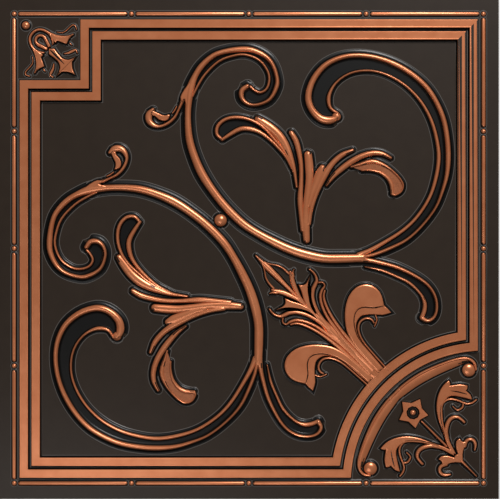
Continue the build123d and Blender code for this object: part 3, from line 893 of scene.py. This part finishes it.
GRID_CUTS = 11
blank = bmesh.new()
blank.verts.layers.float.new("copper")
blank.verts.layers.float.new("glaze_and_painted_light")
bmesh.ops.create_cube(blank, size=1.0)
flat_edges = [edge for edge in blank.edges if edge.verts[0].co.z == edge.verts[1].co.z]
bmesh.ops.subdivide_edges(blank, edges=flat_edges, cuts=GRID_CUTS, use_grid_fill=True)
bmesh.ops.scale(blank, vec=(TILE, TILE, SHEET), verts=blank.verts)
bmesh.ops.translate(blank, vec=(0, 0, SHEET / 2), verts=blank.verts)
mesh = bpy.data.meshes.new("blank")
blank.to_mesh(mesh)
blank.free()
face = solved(mesh, outer_forms, "UNION")
print("faces after the union", len(face.polygons))
face = solved(face, grooves, "DIFFERENCE")
skin = solved(face, inner_forms, "DIFFERENCE")
print("faces after the hollows", len(skin.polygons))

# %% [markdown]
# Carrying the paint over. Every painted face of the sheet is a piece of a face of one form, so
# it looks up the form it came from and reads copper, and glaze with painted light, there at its
# own corners. The open ground and the back get none. Each corner of a face has its own paint,
# so the edge between two forms stays sharp. Where the solver leaves two faces folded flat on
# each other, both go.

# %% Read the paint from the forms
SAME_PLACE = 0.02  # how near a face lies to the form that it is a piece of


def carry_paint(sheet):
    """Copper, and glaze with painted light, for every corner of every face, from the raised form it
    is a piece of.
    """
    copper, glaze_and_painted_light = sheet.loops.layers.float.new("copper"), sheet.loops.layers.float.new("glaze_and_painted_light")
    rub, dark = painted.verts.layers.float["copper"], painted.verts.layers.float["glaze_and_painted_light"]
    painted.faces.ensure_lookup_table()
    tree = BVHTree.FromBMesh(painted)
    for part in sheet.faces:
        place, normal, number, gap = tree.find_nearest(part.calc_center_median())
        if gap > SAME_PLACE or part.normal.z < -0.1 or place.z < SHEET:
            continue
        around = painted.faces[number].verts
        for corner in part.loops:
            shares = poly_3d_calc([other.co for other in around], corner.vert.co)
            corner[copper] = sum(share * other[rub] for share, other in zip(shares, around))
            corner[glaze_and_painted_light] = sum(share * other[dark] for share, other in zip(shares, around))


sheet = bmesh.new()
sheet.from_mesh(skin)
for name in ("copper", "glaze_and_painted_light"):
    sheet.verts.layers.float.remove(sheet.verts.layers.float[name])
bmesh.ops.triangulate(sheet, faces=sheet.faces)
folded = {}
for part in sheet.faces:
    folded.setdefault(frozenset(part.verts), []).append(part)
doubled = [part for parts in folded.values() if len(parts) > 1 for part in parts]
bmesh.ops.delete(sheet, geom=doubled, context="FACES_ONLY")
bmesh.ops.delete(sheet, geom=[v for v in sheet.verts if not v.link_faces], context="VERTS")
bmesh.ops.delete(sheet, geom=[e for e in sheet.edges if not e.link_faces], context="EDGES")
carry_paint(sheet)
print("painted faces", len(sheet.faces))

# %% [markdown]
# Shading. A formed sheet is smooth over its crowns and crisp where a wall meets flat ground, so
# edges that turn sharply are marked sharp, and so are those between level faces and the rest.

# %% Finish the mesh
LEVEL = 0.99999  # how upright the normal of a level face is
SHARP_TURN = radians(38)
level = set()
for part in sheet.faces:
    part.smooth = True
    if abs(part.normal.z) > LEVEL:
        level.add(part)
for edge in sheet.edges:
    sides = edge.link_faces
    turned = len(sides) == 2 and sides[0].normal.angle(sides[1].normal, 0) > SHARP_TURN
    edge.smooth = not (turned or len(level.intersection(sides)) == 1)
bmesh.ops.scale(sheet, vec=(MM, MM, MM), verts=sheet.verts)
touching = [edge for edge in sheet.edges if len(edge.link_faces) != 2]
mesh = bpy.data.meshes.new("embossed_tile")
sheet.to_mesh(mesh)
sheet.free()
tile = bpy.data.objects.new("embossed_tile", mesh)
bpy.context.scene.collection.objects.link(tile)
print("triangles", len(mesh.polygons), "edges where folds touch", len(touching))

# %% [markdown]
# Finish. The sheet is rigid PVC with a sprayed near black base, a brown glaze that pools in the
# low places, painted near black on the walls, in the creases and on the trough floors as glaze
# and painted shade both, and a copper lacquer rubbed over the crowns. The lacquer holds fine
# metal flakes, so it reads as satin metal, and where the pad slid off the crowns it leaves a soft
# broken edge. A grey highlight is painted on the swell round each form's foot, a thin line.

# %% Colours and nodes
CLOUD = 18 * MM  # size of the slow change in a sprayed coat
GRAIN = 1.6 * MM  # size of the broken edge that the rubbing pad leaves
BASE_COAT = ("#241a12", "#2b2118")
# Glaze and painted shade on walls, creases and trough floors.
GLAZE_AND_PAINTED_SHADE = "#040302"
# Painted highlight on the swell at each form's foot.
PAINTED_FOOT_HIGHLIGHT = "#7f7c79"
COPPER_LACQUER = ("#bd6c44", "#d98a60")


def linear(code):
    """An sRGB hex colour as the linear values that a shader takes."""
    values = [int(code[place:place + 2], 16) / 255 for place in (1, 3, 5)]
    return [v / 12.92 if v <= 0.04045 else ((v + 0.055) / 1.055) ** 2.4 for v in values] + [1.0]


def node(tree, kind, settings=(), links=()):
    """Adds a node, with its settings and the links into it."""
    made = tree.nodes.new(kind)
    for name, value in dict(settings).items():
        if isinstance(name, str) and hasattr(made, name):
            setattr(made, name, value)
        else:
            made.inputs[name].default_value = value
    for name, source in dict(links).items():
        tree.links.new(source, made.inputs[name])
    return made


def painted_pvc():
    """Black PVC, near black glaze with painted shade, a painted highlight on the foot swells,
    rubbed copper lacquer.
    """
    finish = bpy.data.materials.new("rubbed_copper_lacquer_on_pvc")
    finish.use_nodes = True
    tree = finish.node_tree
    tree.nodes.clear()
    place = node(tree, "ShaderNodeTexCoord").outputs["Object"]
    copper = node(tree, "ShaderNodeAttribute", {"attribute_name": "copper"}).outputs["Fac"]
    glaze_and_painted_light = node(tree, "ShaderNodeAttribute", {"attribute_name": "glaze_and_painted_light"}).outputs["Fac"]
    cloud = node(tree, "ShaderNodeTexNoise", {"Scale": 1 / CLOUD, "Detail": 3.0},
                 {"Vector": place}).outputs["Fac"]
    grain = node(tree, "ShaderNodeTexNoise", {"Scale": 1 / GRAIN, "Detail": 2.0},
                 {"Vector": place}).outputs["Fac"]
    ragged = node(tree, "ShaderNodeMath", {"operation": "MULTIPLY_ADD", 1: 0.3},
                  {0: grain, 2: copper}).outputs[0]
    rubbed = node(tree, "ShaderNodeMapRange", {"From Min": 0.35, "From Max": 0.95},
                  {"Value": ragged}).outputs["Result"]
    colours = {"data_type": "RGBA"}
    dark = node(tree, "ShaderNodeMix",
                {**colours, 6: linear(BASE_COAT[0]), 7: linear(BASE_COAT[1])},
                {0: cloud}).outputs[2]
    # Near black where the form asks for it: glaze and painted shade.
    dark = node(tree, "ShaderNodeMix", {**colours, 7: linear(GLAZE_AND_PAINTED_SHADE)},
                {0: glaze_and_painted_light, 6: dark}).outputs[2]
    # Painted highlight: grey on the foot swells, where the value is below zero.
    painted_highlight = node(tree, "ShaderNodeMapRange",
                 {"From Min": 0.0, "From Max": -1.0, "To Max": 0.42},
                 {"Value": glaze_and_painted_light}).outputs["Result"]
    dark = node(tree, "ShaderNodeMix", {**colours, 7: linear(PAINTED_FOOT_HIGHLIGHT)},
                {0: painted_highlight, 6: dark}).outputs[2]
    warm = node(tree, "ShaderNodeMix",
                {**colours, 6: linear(COPPER_LACQUER[0]), 7: linear(COPPER_LACQUER[1])},
                {0: cloud}).outputs[2]
    colour = node(tree, "ShaderNodeMix", colours, {0: rubbed, 6: dark, 7: warm}).outputs[2]
    metal = node(tree, "ShaderNodeMath", {"operation": "MULTIPLY", 1: 0.55},
                 {0: rubbed}).outputs[0]
    rough = node(tree, "ShaderNodeMapRange", {"To Min": 0.5, "To Max": 0.3},
                 {"Value": rubbed}).outputs["Result"]
    bump = node(tree, "ShaderNodeBump", {"Strength": 0.12, "Distance": 0.2 * MM},
                {"Height": grain}).outputs["Normal"]
    shader = node(tree, "ShaderNodeBsdfPrincipled",
                  {"Specular IOR Level": 0.16, "Coat Weight": 0.2, "Coat Roughness": 0.22},
                  {"Base Color": colour, "Metallic": metal, "Roughness": rough, "Normal": bump})
    node(tree, "ShaderNodeOutputMaterial", {}, {"Surface": shader.outputs[0]})
    return finish


tile.data.materials.append(painted_pvc())
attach(tile, "root")
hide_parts("ceiling_tile")
print("finish", tile.data.materials[0].name)

# %% [markdown]
# Floor, light and camera. The tile lies face up on a pale floor. One large soft lamp stands
# beyond the top right of the tile, as in the photograph, where the walls that face the top catch
# the light and the others stay black, and a weak one fills from the bottom left.

# %% Floor
FLOOR_REACH = 3.0
FLOOR_DROP = 0.3 * MM  # keeps the floor clear of the sheet's back
floor_mesh = bmesh.new()
bmesh.ops.create_grid(floor_mesh, x_segments=1, y_segments=1, size=FLOOR_REACH)
mesh = bpy.data.meshes.new("floor")
floor_mesh.to_mesh(mesh)
floor_mesh.free()
floor = bpy.data.objects.new("floor", mesh)
bpy.context.scene.collection.objects.link(floor)
paper = bpy.data.materials.new("pale_studio_paper")
paper.use_nodes = True
paper_shader = paper.node_tree.nodes["Principled BSDF"]
paper_shader.inputs["Base Color"].default_value = linear("#e4e2df")
paper_shader.inputs["Roughness"].default_value = 0.8
floor.data.materials.append(paper)
floor.location.z = -FLOOR_DROP
print("floor", floor.name, "reaches", FLOOR_REACH, "m")


# %% Lamps and world
def lamp(name, place, size, watts):
    """A soft square lamp that looks at the tile."""
    light = bpy.data.lights.new(name, "AREA")
    light.size, light.energy = size, watts
    holder = bpy.data.objects.new(name, light)
    holder.location = place
    holder.rotation_euler = (-Vector(place)).to_track_quat("-Z", "Y").to_euler()
    bpy.context.scene.collection.objects.link(holder)


lamp("key", place=(1.0, 2.6, 2.9), size=1.1, watts=165)
lamp("fill", place=(-0.6, -1.6, 3.0), size=1.6, watts=22)
world = bpy.data.worlds.new("studio")
bpy.context.scene.world = world
world.use_nodes = True
sky = world.node_tree.nodes["Background"]
sky.inputs["Color"].default_value = (1, 1, 1, 1)
sky.inputs["Strength"].default_value = 0.10
bpy.context.scene.view_settings.view_transform = "Standard"
print("lamps", [light.name for light in bpy.data.lights])

# %% [markdown]
# Camera. The photograph looks straight down and its width holds the tile's width, so a long lens
# hangs at the height that fills the picture with the face. Its middle is a hair off the tile's.

# %% Camera
AIM = (1.45 * MM, -1.1 * MM)
camera = bpy.data.cameras.new("camera")
camera.lens = 85
camera.sensor_width = 36
holder = bpy.data.objects.new("camera", camera)
height = TILE * MM * camera.lens / camera.sensor_width + SHEET * MM
holder.location = (*AIM, height)
bpy.context.scene.collection.objects.link(holder)
bpy.context.scene.camera = holder
print("camera height", round(height, 3), "m")
